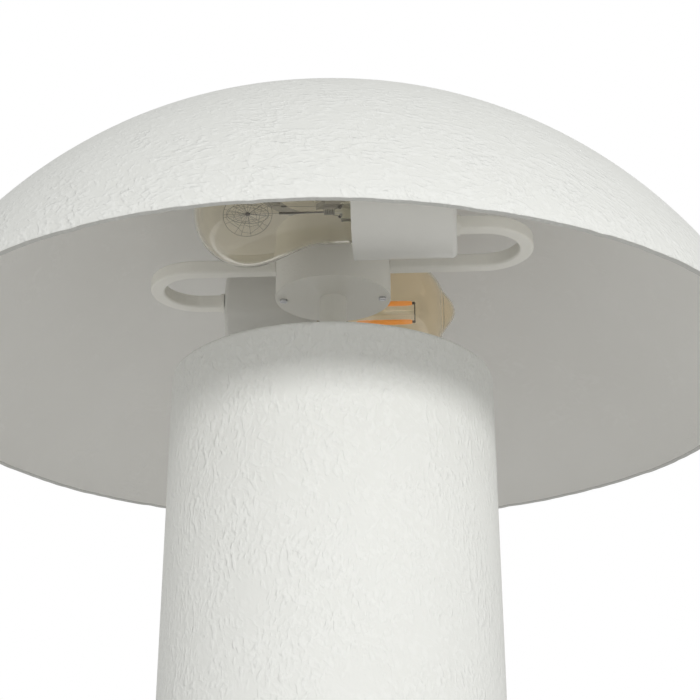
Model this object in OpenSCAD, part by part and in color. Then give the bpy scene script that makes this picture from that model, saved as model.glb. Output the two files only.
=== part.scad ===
// Plaster table lamp: a shallow dome shade over a thick round body, with two horizontal
// sockets on bent arms between them. Z is up and the origin is on the table, on the lamp's axis.

/* [Shade] */
// Outer diameter of the shade at its rim
shade_d = 400; // [380:1:440]
// Height of the dome above its rim
shade_h = 129; // [126:1:150]
// How far the rim hangs below the body's top
rim_drop = 6; // [2:0.5:10]
// Thickness of the plaster at the rim
shade_rim_wall = 3; // [2:0.5:5]
// Thickness of the plaster at the crown
shade_top_wall = 5; // [4:0.5:7]
// How soon the dome turns in above the rim
shade_turn_in = 1.285; // [1.2:0.005:1.5]
// How flat the crown is
shade_crown = 2.33; // [2.1:0.01:2.6]

/* [Shade carrier] */
// Height of the shade's seat above the rim
seat_h = 108; // [104:0.5:109]
// Diameter of the disc that the shade rests on
rest_d = 56; // [44:1:60]
// Thickness of the disc
rest_t = 2; // [1.5:0.5:3]
// Diameter of the boss under the disc
rest_boss_d = 18; // [15:1:24]
// Height of the boss under the disc
rest_boss_h = 7; // [5:0.5:8]
// Diameter of the plate and block in the crown
crown_d = 78; // [76:1:84]
// Thickness of the steel plate in the crown
crown_plate_t = 2; // [1.5:0.5:3]
// Length of the stub that centres the shade
stub_h = 7; // [4:0.5:8]

/* [Body] */
// Height of the plaster body's top above the table
body_top_z = 386; // [300:1:480]
// Diameter of the body just under its top edge
body_top_d = 148; // [130:1:160]
// Diameter of the body at the table
body_foot_d = 157; // [150:1:175]
// Rounding of the top edge
body_edge_r = 2.3; // [1:0.1:5]
// Wall of the body
body_wall = 9; // [7:0.5:14]
// Thickness of the body's top
body_top_wall = 12; // [8:0.5:18]

/* [Base] */
// Thickness of the felt pad
felt_t = 2; // [1:0.5:4]
// Thickness of the base plate
plate_t = 9; // [8:0.5:12]
// Width of the ledge that the base plate bears on
ledge_w = 3; // [2:0.5:5]
// Radius of the recess for the nut under the base plate
recess_r = 13; // [12:0.5:16]
// Depth of that recess
recess_h = 5.5; // [5.2:0.1:6.5]
// Diameter of the iron weight
weight_d = 112; // [60:1:125]
// Thickness of the iron weight
weight_t = 14; // [8:1:20]
// Height of the cord inlet above the table
inlet_z = 44; // [40:1:80]
// Bore of the cord inlet
inlet_bore = 6.8; // [5:0.1:8]

/* [Pipe and stem] */
// Outer diameter of the threaded pipe
pipe_d = 10.2; // [9.6:0.1:10.6]
// Bore of the pipe
pipe_bore = 6.4; // [5:0.1:7]
// Outer diameter of the tube that covers the pipe
stem_d = 12.6; // [12.4:0.1:16]
// Width across the flats of the pipe's nuts
nut_af = 14.3; // [13.5:0.1:16]
// Thickness of the pipe's nuts
nut_t = 3.2; // [3:0.1:4]
// Thickness of the pipe's washers
washer_t = 1.2; // [1:0.1:1.5]
// Diameter of the pipe's washers
washer_d = 22; // [18:1:24]

/* [Hub] */
// Diameter of the hub
hub_d = 54.5; // [54:0.5:58]
// Height of the hub
hub_h = 34; // [30:0.5:38]
// Wall of the hub
hub_wall = 1.6; // [1.2:0.1:2]
// Thickness of the hub's cover
cover_t = 1.6; // [1.2:0.1:2.5]
// Height of the arms above the body's top
arm_rise = 59.5; // [54:0.5:62]
// Turn of the whole cluster about the lamp's axis
cluster_turn = -3.5; // [-20:0.5:20]

/* [Arms] */
// Side of the square arm
arm_w = 6.8; // [6.4:0.1:7.5]
// Corner radius of the square arm
arm_corner = 1.2; // [0.8:0.1:1.6]
// Bore of the arm
arm_bore = 4; // [3.8:0.1:4.2]
// Distance between the two legs of an arm
arm_gap = 40.5; // [38:0.5:42]
// Distance of the front arm's outer end from the lamp's axis
front_arm_reach = 94.5; // [90:0.5:98]
// Distance of the rear arm's outer end from the lamp's axis
rear_arm_reach = 90.5; // [88:0.5:98]
// Diameter of the threaded ends of the arm
nipple_d = 6; // [5.6:0.1:6.4]
// Width across the flats of the arm's nut
arm_nut_af = 9; // [8:0.5:9.5]
// Thickness of the arm's nut
arm_nut_t = 2.4; // [2:0.1:3]
// Diameter of the washer between arm and socket
arm_washer_d = 9.6; // [9:0.1:10]
// Thickness of that washer
arm_washer_t = 1.5; // [1:0.1:2]

/* [Sockets] */
// Outer diameter of a socket
socket_d = 44; // [43.8:0.1:46]
// Length of a socket
socket_len = 46; // [45:0.5:48]
// Distance of the front socket's back end from the lamp's axis, along the socket
front_socket_back = 59; // [55:0.5:60]
// Distance of the rear socket's back end from the lamp's axis, along the socket
rear_socket_back = 57; // [55:0.5:60]
// Distance of a socket's axis from the lamp's axis
socket_off = 57.5; // [57:0.5:60]
// Wall of the socket's outer shell
socket_wall = 2; // [1.5:0.1:2.2]
// Thickness of the moulded cap at the socket's back
cap_t = 8; // [7:0.5:8.5]
// Rounding of the cap's back edge
cap_edge_r = 2.4; // [1:0.1:2.5]
// Diameter of the moulded core
core_d = 35; // [34:0.5:37]
// Distance from the socket's back to the core
core_back = 14; // [13.5:0.5:14.5]
// Thickness of the core's floor
core_floor = 2; // [1.5:0.1:2.2]
// Distance from the mouth to the core's front
core_inset = 3; // [2:0.5:5]
// Wall of the brass screw shell
shell_wall = 0.5; // [0.4:0.1:0.8]

/* [Bulb caps] */
// Diameter over the thread of the bulb cap
cap_d = 26.2; // [26:0.05:26.4]
// Pitch of the thread
cap_pitch = 3.63; // [3.6:0.01:3.66]
// Depth of the rolled thread
cap_depth = 0.8; // [0.5:0.1:1]
// Length of the threaded cap
cap_len = 19; // [18:0.5:19.5]
// Length of the black insulator behind the thread
insulator_h = 3.2; // [2.5:0.1:3.4]
// Height of the contact button
button_h = 1.6; // [1.2:0.1:1.8]
// Diameter of the contact button
button_d = 9.4; // [8:0.1:10]
// Running gap between the cap and the screw shell
screw_gap = 0.08; // [0.05:0.01:0.1]

/* [Bulb glass] */
// Diameter of the front bulb
front_bulb_d = 48; // [44:0.5:50]
// How far the front bulb stands out of its socket
front_bulb_out = 71.5; // [66:0.5:74]
// Where the front bulb's neck begins to widen
front_neck_out = 13; // [8:0.5:16]
// Diameter of the rear bulb
rear_bulb_d = 60; // [50:0.5:61]
// How far the rear bulb stands out of its socket, without its tip
rear_bulb_out = 64.5; // [60:0.5:68]
// Where the rear bulb's neck begins to widen
rear_neck_out = 3; // [1:0.5:5]
// Height of the rear bulb's tip above its globe
rear_tip_h = 3.8; // [2:0.1:4.5]
// Radius at which that tip leaves the globe
rear_tip_r = 9.5; // [7:0.1:12]
// Diameter of the bulbs' necks
neck_d = 29; // [28:0.5:30]
// Wall of the glass
glass_wall = 0.8; // [0.6:0.1:1.2]

/* [Filaments] */
// Radius of the front bulb's wire wheels
wheel_r = 10.5; // [8:0.1:12]
// Number of spokes in half a wheel
wheel_spokes = 8; // [4:2:10]
// Thickness of the filament and its supports
wire_d = 0.36; // [0.3:0.02:0.5]
// How far the post under the wheels stands out of the socket
post_out = 33.5; // [28:0.5:35]
// Thickness of that post
post_d = 1.1; // [0.8:0.1:1.4]
// Distance of the rear bulb's glowing bars from the socket's mouth
led_out = 19; // [15:0.5:21]
// Length of the rear bulb's glowing bars
led_len = 28; // [24:1:32]
// Thickness of the glowing bars
led_d = 2.2; // [1.4:0.1:2.4]
// Distance of the bars from the bulb's axis
led_off = 5.1; // [4.5:0.1:7]
// Number of glowing bars
led_count = 2; // [2:1:6]

/* [Fits] */
// Gap between threaded pieces and the holes they pass
thread_gap = 0.1; // [0.05:0.01:0.2]
// Gap between pieces that lie against each other loosely
rest_gap = 0.3; // [0.2:0.05:0.5]

/* [Hidden] */
$fn = 96;

plaster = "#f0ede6";
white_paint = "#e9e8e4";
white_plastic = "#f2f1ec";
steel = "#a9abab";
brass_col = "#c9a24e";
felt_col = "#55524e";
amber = [0.86, 0.62, 0.30, 0.5];
clear_tint = [0.86, 0.80, 0.68, 0.4];
glow = "#f08a2c";

eps = 0.01;
steps = 44;
pipe_r = pipe_d / 2;
rim_z = body_top_z - rim_drop;
arm_z = body_top_z + arm_rise;
hub_r = hub_d / 2;
hub_z = arm_z - hub_h / 2;
hub_in = hub_r - hub_wall;
seat_z = rim_z + seat_h;
rest_z = seat_z - rest_t - rest_boss_h;
pipe_foot = felt_t + 0.8;
plate_top = felt_t + plate_t;
recess_top = felt_t + recess_h;
weight_top = plate_top + weight_t;
body_h = body_top_z - felt_t;
body_top_r = body_top_d / 2;
body_foot_r = body_foot_d / 2;

// Radius of the body's outer side at height z above the table
function body_r(z) = body_foot_r + (body_top_r - body_foot_r) * (z - felt_t) / body_h;
// Radius of a dome of radius r and height h at height z above its rim
function dome_r(z, r, h) = r * pow(max(0, 1 - pow(z / h, shade_turn_in)), 1 / shade_crown);
// Height of a dome of radius r and height h at radius x
function dome_z(x, r, h) = h * pow(max(0, 1 - pow(x / r, shade_crown)), 1 / shade_turn_in);
// Points up one side of a dome, closer together near the crown
function dome_side(r, h) = [for (i = [0:steps])
    let (z = h * (1 - pow(1 - i / steps, 2))) [dome_r(z, r, h), z]];
function reversed(list) = [for (i = [len(list) - 1:-1:0]) list[i]];

shade_in_r = shade_d / 2 - shade_rim_wall;
shade_in_h = shade_h - shade_top_wall;

module nut(af, t, hole_d) {
    difference() {
        cylinder(h = t, d = af / cos(30), $fn = 6);
        translate([0, 0, -eps]) cylinder(h = t + 2 * eps, d = hole_d);
    }
}

module washer(d, t, hole_d) {
    difference() {
        cylinder(h = t, d = d);
        translate([0, 0, -eps]) cylinder(h = t + 2 * eps, d = hole_d);
    }
}

// A pan-head screw that points up, with its head below z = 0
module screw(head_d, head_h, shank_d, shank_h) {
    difference() {
        union() {
            translate([0, 0, -head_h]) cylinder(h = head_h, d = head_d);
            translate([0, 0, -eps]) cylinder(h = shank_h + eps, d = shank_d);
        }
        translate([-head_d * 0.38, -0.3, -head_h - eps]) cube([head_d * 0.76, 0.6, head_h * 0.5]);
    }
}

// The shade, its plate and what carries them

module shade_shell() {
    color(plaster) translate([0, 0, rim_z]) rotate_extrude($fn = 180)
        polygon(concat(dome_side(shade_d / 2, shade_h), reversed(dome_side(shade_in_r, shade_in_h))));
}

crown_z = seat_z + rest_gap;
block_z = crown_z + crown_plate_t;
// the screws lie outside the disc and inside the plate's edge
screw_ring_r = (rest_d + crown_d) / 4;
crown_screws_n = 3;
crown_screw_head = 5;
crown_screw_head_h = 1.6;
crown_screw_d = 3;
crown_screw_len = 7;
crown_arc = 12;

// Height of the dome's inside above the table, less the bed of glue, at radius x
function crown_in_z(x) = rim_z - rest_gap + dome_z(x, shade_in_r, shade_in_h);

module crown_block() {
    stub_hole_r = pipe_r + 2 * rest_gap;
    edge = [for (i = [crown_arc:-1:0]) let (x = crown_d / 2 * i / crown_arc) [x, crown_in_z(x)]];
    color(plaster) difference() {
        rotate_extrude() polygon(concat([[0, block_z], [crown_d / 2, block_z]], edge));
        translate([0, 0, block_z - eps]) cylinder(h = stub_h, r = stub_hole_r);
        crown_screw_places() cylinder(h = crown_screw_len + rest_gap, d = crown_screw_d + 2 * thread_gap);
    }
}

module crown_screw_places() {
    for (i = [0:crown_screws_n - 1])
        rotate([0, 0, 30 + i * 360 / crown_screws_n]) translate([screw_ring_r, 0, crown_z]) children();
}

module crown_plate() {
    color(steel) difference() {
        translate([0, 0, crown_z]) cylinder(h = crown_plate_t, d = crown_d);
        translate([0, 0, crown_z - eps]) cylinder(h = crown_plate_t + 2 * eps, r = pipe_r + rest_gap);
        crown_screw_places() translate([0, 0, -eps])
            cylinder(h = crown_plate_t + 2 * eps, d = crown_screw_d + 2 * thread_gap);
    }
}

module crown_screws() {
    color(steel) crown_screw_places()
        screw(crown_screw_head, crown_screw_head_h, crown_screw_d, crown_screw_len);
}

module shade_rest() {
    color(white_paint) translate([0, 0, rest_z]) difference() {
        union() {
            cylinder(h = rest_boss_h + eps, d = rest_boss_d);
            translate([0, 0, rest_boss_h]) cylinder(h = rest_t, d = rest_d);
        }
        translate([0, 0, -eps]) cylinder(h = rest_boss_h + rest_t + 1, r = pipe_r + thread_gap);
    }
}

module shade_rest_nut() {
    color(steel) translate([0, 0, rest_z - nut_t]) nut(nut_af, nut_t, pipe_d + 2 * thread_gap);
}

// The pipe that clamps base, body, stem and hub together

slot_r = pipe_bore / 2 - 0.6;

module lamp_pipe() {
    color(steel) difference() {
        translate([0, 0, pipe_foot]) cylinder(h = seat_z + stub_h - pipe_foot, r = pipe_r);
        translate([0, 0, pipe_foot - 1]) cylinder(h = seat_z + stub_h, d = pipe_bore);
        // cord enters here
        translate([0, 0, inlet_z]) rotate([-90, 0, 0]) cylinder(h = pipe_d, r = slot_r);
        // leads leave here, inside the hub
        translate([-pipe_d, 0, arm_z]) rotate([0, 90, 0]) cylinder(h = 2 * pipe_d, r = slot_r);
    }
}

module hub_washer() {
    color(steel) translate([0, 0, hub_z + hub_h]) washer(washer_d, washer_t, pipe_d + 2 * thread_gap);
}

module hub_nut() {
    color(steel) translate([0, 0, hub_z + hub_h + washer_t]) nut(nut_af, nut_t, pipe_d + 2 * thread_gap);
}

module stem_tube() {
    color(white_paint) difference() {
        translate([0, 0, body_top_z + washer_t]) cylinder(h = hub_z - body_top_z - washer_t, d = stem_d);
        translate([0, 0, body_top_z]) cylinder(h = hub_z - body_top_z + 1, r = pipe_r + thread_gap);
    }
}

module stem_washer() {
    color(white_paint) translate([0, 0, body_top_z])
        washer(2 * washer_d, washer_t, pipe_d + 2 * thread_gap);
}

// The hub between the two arms

lug_r = 2.6;
lug_ring_r = hub_r - 3.8;
lug_h = 7;
lug_screw_d = 2;
lug_screw_head = 3.6;
lug_screw_head_h = 1;
lug_hole_r = lug_screw_d / 2 + thread_gap;
nipple_hole_r = nipple_d / 2 + thread_gap;

// The cover's two screws lie under the arms
module lug_places() {
    for (a = [0, 180]) rotate([0, 0, cluster_turn + a]) translate([lug_ring_r, 0, hub_z]) children();
}

module hub_housing() {
    color(white_paint) difference() {
        union() {
            difference() {
                translate([0, 0, hub_z + cover_t]) cylinder(h = hub_h - cover_t, r = hub_r);
                translate([0, 0, hub_z]) cylinder(h = hub_h - hub_wall, r = hub_in);
            }
            lug_places() translate([0, 0, cover_t]) cylinder(h = lug_h, r = lug_r, $fn = 48);
        }
        translate([0, 0, hub_z]) cylinder(h = hub_h + 1, r = pipe_r + thread_gap);
        for (s = [0, 1]) on_side(s) translate([hub_in - hub_wall, 0, 0]) rotate([0, 90, 0])
            cylinder(h = 3 * hub_wall, r = nipple_hole_r);
        lug_places() cylinder(h = lug_h + cover_t - 1, r = lug_hole_r, $fn = 32);
    }
}

module hub_cover() {
    color(white_paint) difference() {
        translate([0, 0, hub_z]) cylinder(h = cover_t, r = hub_r);
        translate([0, 0, hub_z - eps]) cylinder(h = cover_t + 1, r = pipe_r + thread_gap);
        lug_places() translate([0, 0, -eps]) cylinder(h = cover_t + 1, r = lug_hole_r, $fn = 32);
    }
}

module hub_cover_screws() {
    color(steel) lug_places() screw(lug_screw_head, lug_screw_head_h, lug_screw_d, lug_h - 1, $fn = 32);
}

// The body and its base

rebate_r = body_foot_r - body_wall + ledge_w;
bushing_wall = 1.6;
bushing_inside = 2.1;
inlet_hole_r = inlet_bore / 2 + bushing_wall;
flange_r = inlet_hole_r + 2.4;
flange_t = 2;
flange_sunk = 0.7;
inlet_y = body_r(inlet_z);
cavity_top = body_top_z - body_top_wall;
edge_arc = 8;

module body_shell() {
    arc = [for (i = [0:edge_arc]) let (a = 90 * i / edge_arc)
        [body_top_r - body_edge_r + body_edge_r * cos(a), body_top_z - body_edge_r + body_edge_r * sin(a)]];
    color(plaster) difference() {
        rotate_extrude($fn = 180)
            polygon(concat([[0, felt_t], [body_foot_r, felt_t]], arc, [[0, body_top_z]]));
        translate([0, 0, felt_t - eps]) cylinder(h = plate_t + eps, r = rebate_r);
        translate([0, 0, plate_top - eps]) cylinder(h = cavity_top - plate_top + eps,
            r1 = body_r(plate_top) - body_wall, r2 = body_r(cavity_top) - body_wall);
        translate([0, 0, cavity_top - 1]) cylinder(h = body_top_wall + 2, r = pipe_r + rest_gap);
        translate([0, inlet_y - 1.5 * body_wall, inlet_z]) rotate([-90, 0, 0])
            cylinder(h = 2 * body_wall, r = inlet_hole_r + thread_gap);
        translate([0, inlet_y - flange_sunk, inlet_z]) rotate([-90, 0, 0])
            cylinder(h = body_wall, r = flange_r + thread_gap);
    }
}

module cord_bushing() {
    inner_y = inlet_y - body_wall - bushing_inside;
    color("#e4e2dc") translate([0, 0, inlet_z]) rotate([-90, 0, 0]) difference() {
        union() {
            translate([0, 0, inlet_y - flange_sunk]) cylinder(h = flange_t, r = flange_r);
            translate([0, 0, inner_y]) cylinder(h = inlet_y - flange_sunk - inner_y + eps, r = inlet_hole_r);
        }
        translate([0, 0, inner_y - 1]) cylinder(h = 2 * body_wall, d = inlet_bore);
    }
}

module base_plate() {
    color("#6e6a64") difference() {
        translate([0, 0, felt_t]) cylinder(h = plate_t, r = rebate_r - rest_gap);
        translate([0, 0, felt_t - eps]) cylinder(h = recess_h + eps, r = recess_r);
        translate([0, 0, felt_t]) cylinder(h = plate_t + 1, r = pipe_r + thread_gap);
    }
}

module base_weight() {
    color("#4a4a4c") difference() {
        translate([0, 0, plate_top]) cylinder(h = weight_t, d = weight_d);
        translate([0, 0, plate_top - eps]) cylinder(h = weight_t + 1, r = pipe_r + thread_gap);
    }
}

module weight_nut() {
    color(steel) translate([0, 0, weight_top]) nut(nut_af, nut_t, pipe_d + 2 * thread_gap);
}

module base_washer() {
    color(steel) translate([0, 0, recess_top - washer_t]) washer(washer_d, washer_t, pipe_d + 2 * thread_gap);
}

module base_nut() {
    color(steel) translate([0, 0, recess_top - washer_t - nut_t]) nut(nut_af, nut_t, pipe_d + 2 * thread_gap);
}

module felt_pad() {
    inset = 1.5;
    color(felt_col) difference() {
        cylinder(h = felt_t, r = body_foot_r - inset);
        translate([0, 0, -eps]) cylinder(h = felt_t + 2 * eps, r = recess_r);
    }
}

// The arms. Side 0 carries the front socket and side 1 the rear one, half a turn round.

function bend_x(s) = (s == 0 ? front_arm_reach : rear_arm_reach) - arm_gap / 2 - arm_w / 2;
function socket_back(s) = s == 0 ? front_socket_back : rear_socket_back;

// where the nut's corners meet the hub's round inner wall
nut_seat = sqrt(pow(hub_in, 2) - pow(arm_nut_af / 2 / cos(30), 2)) - 0.05;
nipple_past = 1.5;
nipple_in = nut_seat - arm_nut_t - nipple_past;
nipple_hold = cap_t - nipple_past;

module on_side(s) {
    rotate([0, 0, cluster_turn + 180 * s]) translate([0, 0, arm_z]) children();
}

// Socket frame: z runs from the socket's back to its mouth, x is up and y points to the hub
module in_socket(s) {
    on_side(s) translate([socket_back(s), -socket_off, 0]) rotate([0, -90, 0]) children();
}

module rounded_square(w, r) {
    square([w - 2 * r, w], center = true);
    square([w, w - 2 * r], center = true);
    for (x = [-1, 1], y = [-1, 1]) translate([x * (w / 2 - r), y * (w / 2 - r)]) circle(r = r, $fn = 32);
}

// A run along an arm's own path: in at x0, round the bend at x = bend and back to x1
module arm_run(bend, x0, x1) {
    translate([x0, 0, 0]) rotate([0, 90, 0]) linear_extrude(bend - x0) children();
    translate([bend, -arm_gap / 2, 0]) rotate([0, 0, -90]) rotate_extrude(angle = 180, $fn = 96)
        translate([arm_gap / 2, 0]) rotate([0, 0, 90]) children();
    translate([x1, -arm_gap, 0]) rotate([0, 90, 0]) linear_extrude(bend - x1) children();
}

module arm(s) {
    back = socket_back(s);
    color(white_paint) on_side(s) difference() {
        union() {
            arm_run(bend_x(s), hub_r, back + arm_washer_t) rounded_square(arm_w, arm_corner);
            translate([nipple_in, 0, 0]) rotate([0, 90, 0]) cylinder(h = hub_r - nipple_in + 1, d = nipple_d);
            translate([back - nipple_hold, -arm_gap, 0]) rotate([0, 90, 0])
                cylinder(h = nipple_hold + arm_washer_t + 1, d = nipple_d);
        }
        arm_run(bend_x(s), nipple_in - 1, back - nipple_hold - 1) circle(d = arm_bore, $fn = 48);
    }
}

module front_arm() { arm(0); }
module rear_arm() { arm(1); }

module arm_nuts() {
    color(steel) for (s = [0, 1]) on_side(s) translate([nut_seat - arm_nut_t, 0, 0]) rotate([0, 90, 0])
        nut(arm_nut_af, arm_nut_t, nipple_d + 2 * thread_gap);
}

module arm_washers() {
    color(steel) for (s = [0, 1]) on_side(s) translate([socket_back(s), -arm_gap, 0]) rotate([0, 90, 0])
        washer(arm_washer_d, arm_washer_t, nipple_d + 2 * thread_gap);
}

// Two insulated leads lie one above the other in each arm

lead_r = 0.7;
lead_step = 0.95;
lead_in = 12;
lead_end = 12.2;
connector_w = 8;
connector_x0 = pipe_r + 1.2;
connector_x1 = nipple_in - 0.6;
supply_step = 2.2;
supply_depth = 3;
off_y = socket_off - arm_gap;

module leads(s) {
    turn_r = 2;
    color("#3b3a38") for (k = [-1, 1]) {
        on_side(s) arm_run(bend_x(s), lead_in, socket_back(s) - lead_end + turn_r)
            translate([-k * lead_step, 0]) circle(r = lead_r, $fn = 24);
        in_socket(s) translate([k * lead_step, 0, 0]) {
            translate([0, off_y - turn_r, lead_end - turn_r]) rotate([0, -90, 180]) rotate([0, 0, -90])
                rotate_extrude(angle = 90, $fn = 48) translate([turn_r, 0]) circle(r = lead_r, $fn = 24);
            translate([0, terminal_y, lead_end]) rotate([-90, 0, 0])
                cylinder(h = off_y - turn_r - terminal_y + eps, r = lead_r, $fn = 24);
        }
    }
}

module front_leads() { leads(0); }
module rear_leads() { leads(1); }

// A connector block inside the hub takes the two leads on one side and the cord's on the other
module lead_connectors() {
    lead_hole_r = lead_r + thread_gap;
    color("#e8e4d8") for (s = [0, 1]) on_side(s) difference() {
        translate([connector_x0, -connector_w / 2, -connector_w / 2])
            cube([connector_x1 - connector_x0, connector_w, connector_w]);
        for (k = [-1, 1]) translate([lead_in - 0.5, 0, k * lead_step]) rotate([0, 90, 0])
            cylinder(h = connector_x1, r = lead_hole_r, $fn = 24);
        for (k = [-1, 1]) translate([connector_x0 - 1, 0, k * supply_step]) rotate([0, 90, 0])
            cylinder(h = supply_depth + 1, r = lead_hole_r, $fn = 24);
    }
}

// The sockets, in the socket frame

cap_spigot = 2;
cap_pocket = 2;
cap_rim = 1.6;
core_front = socket_len - core_inset;
screw_in_r = cap_d / 2 + screw_gap;
screw_out_r = screw_in_r + shell_wall;
shell_floor = core_back + core_floor;
shell_in_r = socket_d / 2 - socket_wall;
terminal_y = 6;
terminal_x = lead_step + lead_r + 2.3;
terminal_head = 4.4;
terminal_head_h = 1.8;
terminal_d = 2.6;
core_screw_x = 10;
core_screw_d = 3;
core_screw_head = 5.4;
core_screw_head_h = 0.4;
core_screw_foot = 2.2;
boss_r = 2.6;
core_flange_h = 3;

// The two long screws that pull the core against the cap
module core_screw_places() {
    for (k = [-1, 1]) translate([k * core_screw_x, 0, 0]) children();
}

module terminal_places() {
    for (k = [-1, 1]) translate([k * terminal_x, terminal_y, core_back]) children();
}

module socket_cap() {
    r = socket_d / 2;
    arc = [for (i = [0:edge_arc]) let (a = 90 * i / edge_arc)
        [r - cap_edge_r + cap_edge_r * sin(a), cap_edge_r - cap_edge_r * cos(a)]];
    color(white_plastic) difference() {
        union() {
            rotate_extrude() polygon(concat([[0, 0]], arc, [[r, cap_t], [0, cap_t]]));
            translate([0, 0, cap_t - eps]) cylinder(h = cap_spigot, r = shell_in_r - thread_gap);
        }
        translate([0, 0, cap_t - cap_pocket]) cylinder(h = cap_pocket + cap_t, r = shell_in_r - cap_rim);
        translate([0, off_y, -1]) cylinder(h = cap_t + 1, r = nipple_hole_r);
        core_screw_places() translate([0, 0, core_screw_foot - 0.2])
            cylinder(h = cap_t, r = core_screw_d / 2 + thread_gap);
    }
}

module socket_shell() {
    color(white_plastic) difference() {
        translate([0, 0, cap_t]) cylinder(h = socket_len - cap_t, d = socket_d);
        translate([0, 0, cap_t - 1]) cylinder(h = socket_len, r = shell_in_r);
    }
}

module socket_core() {
    boss_z = cap_t - cap_pocket;
    color("#f4f2ea") difference() {
        union() {
            translate([0, 0, core_back]) cylinder(h = core_front - core_back, d = core_d);
            translate([0, 0, core_front - core_flange_h])
                cylinder(h = core_flange_h, r = shell_in_r - thread_gap);
            core_screw_places() translate([0, 0, boss_z]) cylinder(h = core_back - boss_z + eps, r = boss_r);
        }
        translate([0, 0, shell_floor]) cylinder(h = socket_len, r = screw_out_r + thread_gap);
        core_screw_places() translate([0, 0, boss_z - 1])
            cylinder(h = shell_floor - boss_z + 2, r = core_screw_d / 2 + thread_gap);
        terminal_places() translate([0, 0, -1]) cylinder(h = core_floor + 2, r = terminal_d / 2 + thread_gap);
    }
}

module screw_shell() {
    contact_hole_r = button_d / 2 + 1.5;
    color(brass_col) difference() {
        translate([0, 0, shell_floor]) cylinder(h = core_front - shell_floor - 1, r = screw_out_r);
        translate([0, 0, shell_floor + shell_wall]) cylinder(h = socket_len, r = screw_in_r);
        translate([0, 0, shell_floor - 1]) cylinder(h = 3, r = contact_hole_r);
        core_screw_places() translate([0, 0, shell_floor - 1])
            cylinder(h = 3, r = core_screw_head / 2 + thread_gap);
    }
}

module centre_contact() {
    w = 5;
    t = 0.5;
    foot_l = 10;
    top = button_z - rest_gap;
    color(brass_col) {
        translate([-w / 2, -foot_l / 2, shell_floor]) cube([w, foot_l, t]);
        translate([-w / 2, -t / 2, shell_floor + t - eps]) cube([w, t, top - shell_floor - 2 * t + 2 * eps]);
        translate([-w / 2, -w / 2, top - t]) cube([w, w, t]);
    }
}

// The shanks end inside the core's floor, clear of the screw shell
module terminal_screws() {
    color(brass_col) for (s = [0, 1]) in_socket(s) terminal_places()
        screw(terminal_head, terminal_head_h, terminal_d, core_floor - 0.5);
}

module core_screws() {
    color(steel) for (s = [0, 1]) in_socket(s) core_screw_places()
        translate([0, 0, shell_floor]) rotate([180, 0, 0])
            screw(core_screw_head, core_screw_head_h, core_screw_d, shell_floor - core_screw_foot);
}

module front_socket_cap() { in_socket(0) socket_cap(); }
module rear_socket_cap() { in_socket(1) socket_cap(); }
module front_socket_shell() { in_socket(0) socket_shell(); }
module rear_socket_shell() { in_socket(1) socket_shell(); }
module front_socket_core() { in_socket(0) socket_core(); }
module rear_socket_core() { in_socket(1) socket_core(); }
module front_screw_shell() { in_socket(0) screw_shell(); }
module rear_screw_shell() { in_socket(1) screw_shell(); }
module front_centre_contact() { in_socket(0) centre_contact(); }
module rear_centre_contact() { in_socket(1) centre_contact(); }

// The bulbs, in the socket frame

cap_front = socket_len - 3;
cap_foot = cap_front - cap_len;
button_z = cap_foot - insulator_h - button_h;
cap_wall = 0.5;
cap_inner_r = cap_d / 2 - cap_depth - cap_wall;
neck_r = neck_d / 2;
// the glass is cemented inside the cap
glue_r = cap_inner_r - 0.4;
shank_d = 3;

// Radius of the rolled thread at height z above the cap's foot
function thread_r(z) = cap_d / 2 - cap_depth / 2 + cap_depth / 2 * cos(360 * z / cap_pitch);

module bulb_cap() {
    rolls = 64;
    collar = 2;
    collar_r = cap_d / 2 - 0.2;
    rolled = cap_len - collar;
    side = [for (i = [0:rolls]) let (z = rolled * i / rolls) [thread_r(z), cap_foot + z]];
    color(brass_col) rotate_extrude() polygon(concat(side,
        [[collar_r, cap_front - collar + 0.3], [collar_r, cap_front],
         [cap_inner_r, cap_front], [cap_inner_r, cap_foot]]));
}

module bulb_insulator() {
    r = cap_inner_r - thread_gap;
    foot_z = cap_foot - insulator_h;
    color("#1d1c1c") difference() {
        union() {
            translate([0, 0, cap_foot]) cylinder(h = 2, r = r);
            translate([0, 0, foot_z]) cylinder(h = insulator_h + eps, r1 = button_d / 2 + 0.6, r2 = r);
        }
        translate([0, 0, foot_z - 1]) cylinder(h = insulator_h + 1, d = shank_d + 2 * screw_gap);
    }
}

// The contact button, with a short shank on which the bulb turns
module bulb_button() {
    gap = 0.05;
    top = cap_foot - insulator_h - gap;
    color("#b9b9b6") {
        translate([0, 0, button_z]) cylinder(h = button_h - gap, d1 = button_d * 0.6, d2 = button_d);
        translate([0, 0, top - eps]) cylinder(h = insulator_h * 0.8, d = shank_d);
    }
}

// Outline of a glass bulb, offset inwards by t: straight neck, eased shoulder and round end
function glass_side(d, out, neck_out, t, last) = let (r = d / 2, mid = out - r) concat(
    [[glue_r - t, cap_front - 4], [glue_r - t, cap_front + 0.6], [neck_r - t, cap_front + 4.4]],
    [for (i = [0:16]) let (z = neck_out + (mid - neck_out) * i / 16)
        [neck_r + (r - neck_r) * (1 - cos(180 * i / 16)) / 2 - t, socket_len + z]],
    [for (i = [1:20]) let (a = last * i / 20) [(r - t) * cos(a), socket_len + mid + (r - t) * sin(a)]]);

// Outline of a blunt tip that swells out of a bulb's globe inside radius tip_r
function tip_side(d, out, tip_r, tip_h, t) = let (r = d / 2 - t, mid = socket_len + out - d / 2)
    [for (i = [1:8]) let (x = tip_r * (1 - i / 8))
        [x, mid + sqrt(r * r - x * x) + tip_h * pow(1 - pow(x / tip_r, 2), 1.5)]];

module glass(d, out, neck_out) {
    rotate_extrude($fn = 120) polygon(concat(
        glass_side(d, out, neck_out, 0, 90), reversed(glass_side(d, out, neck_out, glass_wall, 90))));
}

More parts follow.
